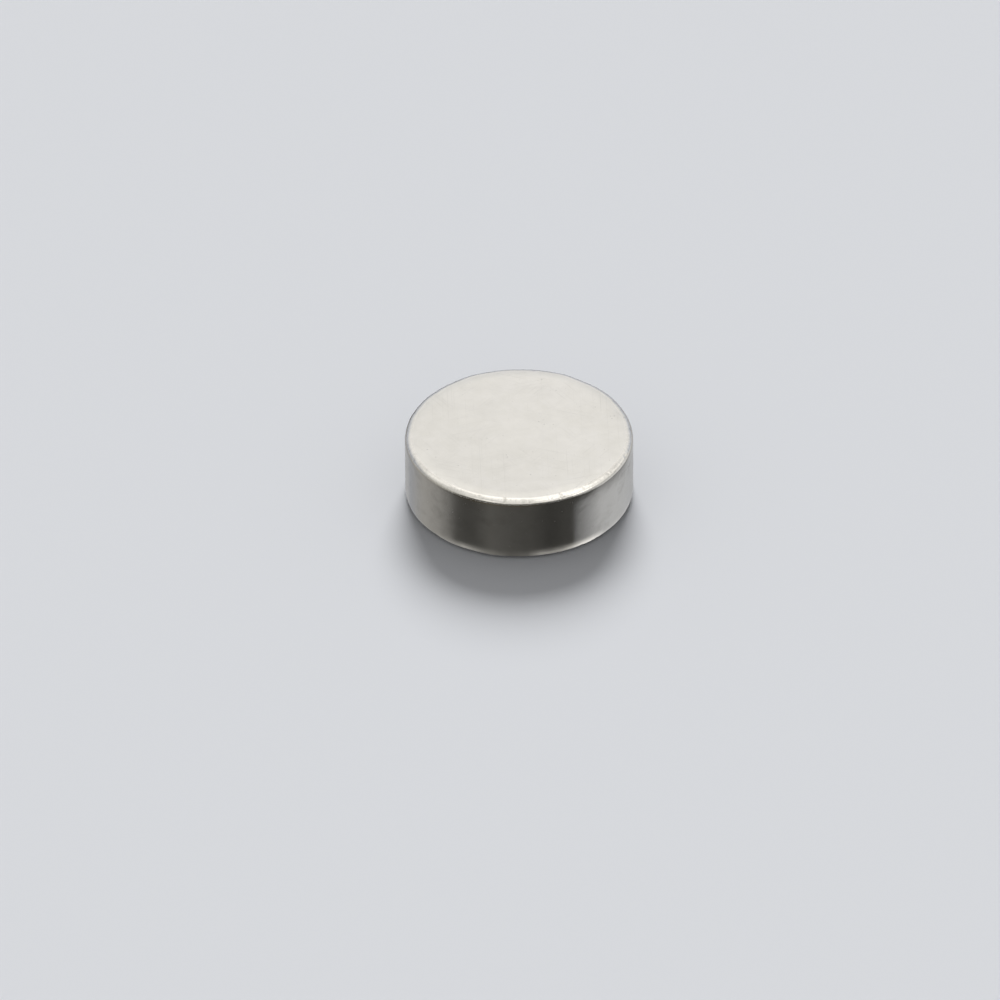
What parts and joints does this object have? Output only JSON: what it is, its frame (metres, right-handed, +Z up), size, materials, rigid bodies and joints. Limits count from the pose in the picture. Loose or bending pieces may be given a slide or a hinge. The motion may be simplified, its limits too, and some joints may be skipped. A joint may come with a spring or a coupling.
{
  "type": "disc magnet",
  "caption": "Small flat round magnet with rounded rims and bright nickel plating, for pressing or gluing into a pocket, catch or bench fixture.",
  "frame": {"origin": "centre of the lower pole face, which the disc rests on", "axes": "+Z up the disc's own axis, from the lower pole face to the upper one; X and Y are free, because the disc is round"},
  "size_m": [0.006, 0.006, 0.0019],
  "materials": {
    "nickel_plating": "gloss"
  },
  "bodies": {
    "root": {"disc_magnet": "nickel_plating"}
  },
  "joints": []
}
